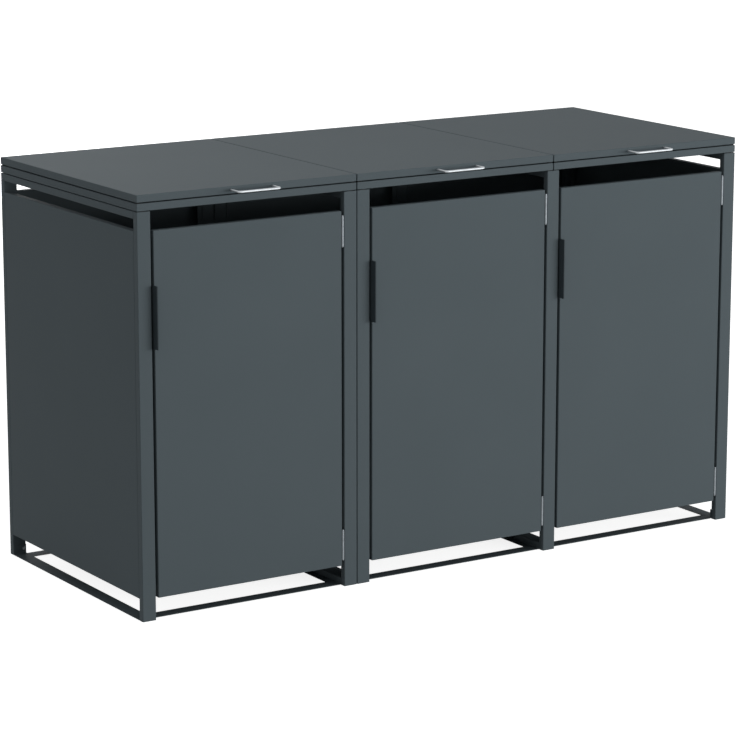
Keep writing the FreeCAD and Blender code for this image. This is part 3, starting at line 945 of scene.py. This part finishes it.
def hingeLeaf(name, low, high):
    leaf = startBox(name, low, high)
    openEdit(leaf)
    pickEdges(leaf, lambda start, end: runsAlong(start, end, axisX) and start.y > high.y - mm)
    bpy.ops.mesh.bevel(offset=hingeLook["leafCorner"], segments=hingeLook["leafCornerSteps"])
    closeEdit()
    return softenEdges(leaf, hingeLook["leafEdge"])


def hingeBarrel(name, low, high):
    # A knuckle with a bore that leaves the pin some play.
    barrel = startRound(name, hingeLook["knuckle"], low, high)
    openEdit(barrel)
    pickFaces(barrel, lambda centre, normal: abs(normal.z) > squareOn)
    bpy.ops.mesh.inset(thickness=hingeLook["knuckle"] - hingeLook["pin"] - hingeLook["pinPlay"])
    bpy.ops.mesh.delete(type="FACE")
    bore = hingeLook["pin"] + 2 * hingeLook["pinPlay"]
    pickEdges(barrel, lambda start, end: start.xy.length < bore and end.xy.length < bore)
    bpy.ops.mesh.bridge_edge_loops()
    normalsOut()
    closeEdit()
    return softenEdges(barrel, hingeLook["knuckleEdge"])


def hingeTip(name, low, high, way):
    tip = startRound(name, hingeLook["headRadius"], low, high)
    openEdit(tip)
    pickFaces(tip, facing(way))
    bpy.ops.mesh.bevel(offset=hingeLook["headRadius"] * hingeLook["headRoundShare"],
                       segments=hingeLook["headRoundSteps"])
    closeEdit()
    return tip


def hingeHalf(name, own):
    # The pin runs along Z from 0. The leaf lies off the pin at +X and runs to +Y. The half
    # that owns the first knuckle also carries the pin and its tips.
    look = hingeLook
    headTop = look["length"] - look["head"]
    span = look["length"] - 2 * look["head"]
    pitch = span / look["knuckles"]
    leafNear = look["leafFar"] - look["leafThick"]
    leafLow = Vector((leafNear, look["leafRelief"], look["head"]))
    leafHigh = Vector((look["leafFar"], look["leafReach"], headTop))
    parts = [hingeLeaf(name + "Leaf", leafLow, leafHigh)]
    for number in own:
        low = look["head"] + number * pitch + look["knuckleGap"] / 2
        high = low + pitch - look["knuckleGap"]
        parts.append(hingeBarrel(name + "Knuckle", low, high))
        tabHigh = Vector((look["leafFar"], look["leafRelief"] + look["tabLap"], high))
        parts.append(startBox(name + "Tab", Vector((leafNear, 0, low)), tabHigh))
    if 0 in own:
        parts.append(hingeTip(name + "Tip", 0, look["head"], downwards))
        parts.append(hingeTip(name + "Tip", headTop, look["length"], upwards))
        pinTop = look["length"] - look["head"] / 2
        parts.append(startRound(name + "Pin", look["pin"], look["head"] / 2, pinTop))
    turn = Matrix.Rotation(-quarterTurn, 4, "Y")
    y = (look["leafRelief"] + look["leafReach"]) / 2 + look["rivetFromMiddle"]
    matrices = []
    for index in range(look["rivets"]):
        z = look["head"] + (index + 0.5) / look["rivets"] * span
        matrices.append(Matrix.Translation((leafNear, y, z)) @ turn)
    rivets = placeAll(rivetHead(name + "Rivet"), name + "Rivet", matrices)
    return joinAll(name, parts + rivets)


def standOn(place, xWay, yWay, zWay):
    return Matrix.Translation(place) @ Matrix((xWay, yWay, zWay)).transposed().to_4x4()


pinOf = {joint["name"]: Vector(joint["pos_m"]) for joint in frame["joints"]}
fixedMaster = hingeHalf("fixedHingeHalf", (0, 2))
movingMaster = hingeHalf("movingHingeHalf", (1,))
doorFixed = []
lidFixed = []
for number, side in bays.items():
    pin = pinOf["%s_door_swing" % side]
    low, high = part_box("door_hinge_%d" % number)
    moving = []
    for start in (low.z - hingeLook["head"], high.z + hingeLook["head"] - hingeLook["length"]):
        foot = Vector((pin.x, pin.y, start))
        top = Vector((pin.x, pin.y, start + hingeLook["length"]))
        doorFixed.append(copyTo(fixedMaster, "half", standOn(foot, towardsRight, towardsRear, upwards)))
        moving.append(copyTo(movingMaster, "half", standOn(top, towardsLeft, towardsRear, downwards)))
    piece = joinAll(side + "DoorHinges", moving)
    dress(piece, side + "_door", "zinc_hinge", "door_hinge_%d" % number)

    pin = pinOf["%s_lid_lift" % side]
    low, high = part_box("lid_hinge_%d" % number)
    moving = []
    for start in (low.x - hingeLook["head"], high.x + hingeLook["head"] - hingeLook["length"]):
        foot = Vector((start, pin.y, pin.z))
        end = Vector((start + hingeLook["length"], pin.y, pin.z))
        lidFixed.append(copyTo(fixedMaster, "half", standOn(foot, towardsFront, downwards, towardsRight)))
        moving.append(copyTo(movingMaster, "half", standOn(end, towardsFront, upwards, towardsLeft)))
    piece = joinAll(side + "LidHinges", moving)
    dress(piece, side + "_lid", "zinc_hinge", "lid_hinge_%d" % number)
dress(joinAll("fixedDoorHinges", doorFixed), "store", "zinc_hinge", "door_hinges_fixed")
dress(joinAll("fixedLidHinges", lidFixed), "store", "zinc_hinge", "lid_hinges_fixed")
throwAway(fixedMaster)
throwAway(movingMaster)
print("hinges made")


# Inserts in the posts' ends, spacers, rubber pads and catches.

def looseParts(node):
    # The boxes of a node's separate solids.
    twin = copyTo(frame["nodes"][node], node + "Twin", Matrix.Identity(4))
    mesh = bmesh.new()
    mesh.from_mesh(twin.data)
    bmesh.ops.remove_doubles(mesh, verts=mesh.verts, dist=weldDistance)
    left = set(mesh.verts)
    boxes = []
    while left:
        group = [left.pop()]
        spread = list(group)
        while spread:
            for edge in spread.pop().link_edges:
                for vert in edge.verts:
                    if vert in left:
                        left.discard(vert)
                        group.append(vert)
                        spread.append(vert)
        low = Vector([min(vert.co[axis] for vert in group) for axis in range(3)])
        high = Vector([max(vert.co[axis] for vert in group) for axis in range(3)])
        boxes.append((low, high))
    mesh.free()
    throwAway(twin)

    def order(box):
        return [round(value, 4) for value in (box[0].z, box[0].y, box[0].x)]

    return sorted(boxes, key=order)


insertLook = {"wall": 2 * mm, "corner": 0.6 * mm, "cornerSteps": 3, "edge": 0.25 * mm}


def postInsert(name, low, high, mouth):
    # A plug, closed at the post's end and hollow towards the post's middle.
    piece = startBox(name, low, high)
    openEdit(piece)
    pickEdges(piece, lambda start, end: runsAlong(start, end, axisZ))
    bpy.ops.mesh.bevel(offset=insertLook["corner"], segments=insertLook["cornerSteps"])
    pickFaces(piece, facing(mouth))
    bpy.ops.mesh.inset(thickness=insertLook["wall"])
    extrude(z=-mouth.z * (high.z - low.z - insertLook["wall"]))
    closeEdit()
    return softenEdges(piece, insertLook["edge"])


feet = [postInsert("foot", low, high, upwards) for low, high in looseParts("post_feet")]
dress(joinAll("postFeet", feet), "store", "insert_plastic", "post_feet")
caps = [postInsert("cap", low, high, downwards) for low, high in looseParts("post_caps")]
dress(joinAll("postCaps", caps), "store", "insert_plastic", "post_caps")

spacerLook = {"edge": 0.3 * mm, "edgeSteps": 3}
padLook = {"edge": 0.8 * mm, "edgeSteps": 4}


def softBoxes(name, node, look):
    boxes = [startBox(name, low, high) for low, high in looseParts(node)]
    return [softenEdges(box, look["edge"], look["edgeSteps"]) for box in boxes]


spacers = softBoxes("spacer", "spacers", spacerLook)
dress(joinAll("postSpacers", spacers), "store", "insert_plastic", "spacers")
pads = softBoxes("pad", "lid_bumpers", padLook)
dress(joinAll("lidBumpers", pads), "store", "bumper_rubber", "lid_bumpers")
print("small parts made")

catchLook = {"plate": 2 * mm, "edge": 0.4 * mm, "magnetLength": 12 * mm, "magnetSteps": 3}
plates = []
magnets = []
for low, high in looseParts("door_catches"):
    plateLow = Vector((low.x, high.y - catchLook["plate"], low.z))
    plates.append(softenEdges(startBox("plate", plateLow, high), catchLook["edge"]))
    magnetLow = Vector((high.x - catchLook["magnetLength"], low.y, low.z))
    magnet = startBox("magnet", magnetLow, Vector((high.x, plateLow.y, high.z)))
    magnets.append(softenEdges(magnet, catchLook["edge"], catchLook["magnetSteps"]))
dress(joinAll("doorCatches", plates), "store", "powder_coat", "door_catches")
dress(joinAll("doorCatchMagnets", magnets), "store", "insert_plastic")
print("catches made")


# Bolts through the tabs of the side strips.

boltLook = {
    "head": 4.4 * mm,
    "headHeight": 3.2 * mm,
    "headSides": 6,
    "headEdge": 0.4 * mm,
    "headEdgeSteps": 3,
    "washer": 5.2 * mm,
    "washerThick": 0.9 * mm,
    "washerEdge": 0.25 * mm,
    "level": 17 * mm,
    "fromInnerEdge": 8 * mm,
}


def hexBolt(name):
    bottom = boltLook["washerThick"]
    top = bottom + boltLook["headHeight"]
    washer = startRound(name + "Washer", boltLook["washer"], 0, bottom)
    softenEdges(washer, boltLook["washerEdge"])
    head = startRound(name + "Head", boltLook["head"], bottom, top, boltLook["headSides"])
    softenEdges(head, boltLook["headEdge"], boltLook["headEdgeSteps"])
    return joinAll(name, [washer, head])


matrices = []
for side in bays.values():
    low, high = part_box("floor_strip_" + side)
    x = high.x - boltLook["fromInnerEdge"] if side != "right" else low.x + boltLook["fromInnerEdge"]
    front = Matrix.Translation((x, low.y + stripLook["thick"], boltLook["level"]))
    rear = Matrix.Translation((x, high.y - stripLook["thick"], boltLook["level"]))
    matrices.append(front @ Matrix.Rotation(-quarterTurn, 4, "X"))
    matrices.append(rear @ Matrix.Rotation(quarterTurn, 4, "X"))
bolts = placeAll(hexBolt("bolt"), "bolt", matrices)
dress(joinAll("stripBolts", bolts), "store", "zinc_hinge")
print("bolts made")


# Studio: a white floor that keeps a soft shadow, soft lamps and the camera.

pureWhite = (1, 1, 1, 1)
studio = {
    "floorSize": 80,
    "floorDrop": 0.2 * mm,
    "floorColour": "#e3e3e3",
    "floorWhite": 0.84,
    "fibreWidth": 4,
    "fibreDetail": 2.0,
    "fibreDepth": 0.05,
    "fibreStrength": 0.1,
    "worldColour": "#f6f7f8",
    "worldLevel": 0.43,
    "lens": 151.1,
    "sensor": 36,
    "farthest": 200,
    "cameraPlace": (-4.723, -7.356, 2.423),
    "cameraPitch": 12.365,
    "cameraYaw": 32.49,
}
lamps = {
    "keyLamp": {
        "place": (6.0, -8.6, 1.5),
        "aim": (0, -0.4, 0.6),
        "wide": 9.0,
        "high": 1.8,
        "watts": 680,
        "gloss": True,
    },
    "topLamp": {
        "place": (-0.7, -0.9, 3.3),
        "aim": (-0.4, 0, 1.1),
        "wide": 1.2,
        "high": 1.2,
        "watts": 10,
        "gloss": True,
    },
    "rimLamp": {
        "place": (2.5, 9.0, 2.6),
        "aim": (0, 0.4, 0.9),
        "wide": 3.0,
        "high": 3.0,
        "watts": 50,
        "gloss": True,
    },
    "backLamp": {
        "place": (1.0, 8.5, 2.2),
        "aim": (0, 0.4, 0.6),
        "wide": 3.0,
        "high": 3.0,
        "watts": 180,
        "gloss": False,
    },
}


def seenByEye(tree):
    # 1 for camera, mirror and glass rays, 0 for rays that light the object.
    path = addNode(tree, "ShaderNodeLightPath")
    first = addNode(tree, "ShaderNodeMath", {"operation": "MAXIMUM"}, {
        0: path.outputs["Is Camera Ray"],
        1: path.outputs["Is Glossy Ray"],
    })
    second = addNode(tree, "ShaderNodeMath", {"operation": "MAXIMUM"}, {
        0: first.outputs[0],
        1: path.outputs["Is Transmission Ray"],
    })
    return second.outputs[0]


def makeFloorFinish():
    # Matt photo paper: it bounces light up, keeps a soft shadow and otherwise looks white.
    material, tree, place = newFinish("whitePaperFloor")
    fibre = addNode(tree, "ShaderNodeTexNoise", None, {
        "Vector": place,
        "Scale": perSize(studio["fibreWidth"]),
        "Detail": studio["fibreDetail"],
    })
    bump = addNode(tree, "ShaderNodeBump", None, {
        "Height": fibre.outputs["Fac"],
        "Strength": studio["fibreStrength"],
        "Distance": studio["fibreDepth"] * mm,
    })
    paper = addNode(tree, "ShaderNodeBsdfDiffuse", None, {
        "Color": srgb(studio["floorColour"]),
        "Normal": bump.outputs["Normal"],
    })
    glow = addNode(tree, "ShaderNodeMath", {"operation": "MULTIPLY"}, {
        0: seenByEye(tree),
        1: studio["floorWhite"],
    })
    shine = addNode(tree, "ShaderNodeEmission", None, {
        "Color": pureWhite,
        "Strength": glow.outputs[0],
    })
    both = addNode(tree, "ShaderNodeAddShader", None, {0: paper.outputs[0], 1: shine.outputs[0]})
    finishTree(tree, both)
    return material


bpy.ops.object.select_all(action="DESELECT")
bpy.ops.mesh.primitive_plane_add(size=studio["floorSize"], location=(0, 0, -studio["floorDrop"]))
floor = settle(bpy.context.object, "studioFloor")
floor.data.materials.append(makeFloorFinish())

world = bpy.data.worlds.new("studioWorld")
bpy.context.scene.world = world
world.use_nodes = True
tree = world.node_tree
tree.nodes.clear()
soft = addNode(tree, "ShaderNodeBackground", None, {
    "Color": srgb(studio["worldColour"]),
    "Strength": studio["worldLevel"],
})
plain = addNode(tree, "ShaderNodeBackground", None, {"Color": pureWhite, "Strength": 1.0})
seen = addNode(tree, "ShaderNodeMixShader", None, {
    0: seenByEye(tree),
    1: soft.outputs[0],
    2: plain.outputs[0],
})
addNode(tree, "ShaderNodeOutputWorld", None, {"Surface": seen.outputs[0]})

for name, look in lamps.items():
    lamp = bpy.data.lights.new(name, "AREA")
    lamp.energy = look["watts"]
    lamp.shape = "RECTANGLE"
    lamp.size = look["wide"]
    lamp.size_y = look["high"]
    holder = bpy.data.objects.new(name, lamp)
    holder.location = look["place"]
    beam = Vector(look["aim"]) - Vector(look["place"])
    holder.rotation_euler = beam.to_track_quat("-Z", "Y").to_euler()
    holder.visible_camera = False
    holder.visible_glossy = look["gloss"]
    bpy.context.scene.collection.objects.link(holder)

pitch = math.radians(90 - studio["cameraPitch"])
yaw = math.radians(-studio["cameraYaw"])
camera = bpy.data.objects.new("camera", bpy.data.cameras.new("camera"))
camera.data.lens = studio["lens"]
camera.data.sensor_width = studio["sensor"]
camera.data.clip_end = studio["farthest"]
camera.location = studio["cameraPlace"]
camera.rotation_euler = (pitch, 0, yaw)
bpy.context.scene.collection.objects.link(camera)
bpy.context.scene.camera = camera
bpy.context.scene.view_settings.view_transform = "Standard"
print("studio made")
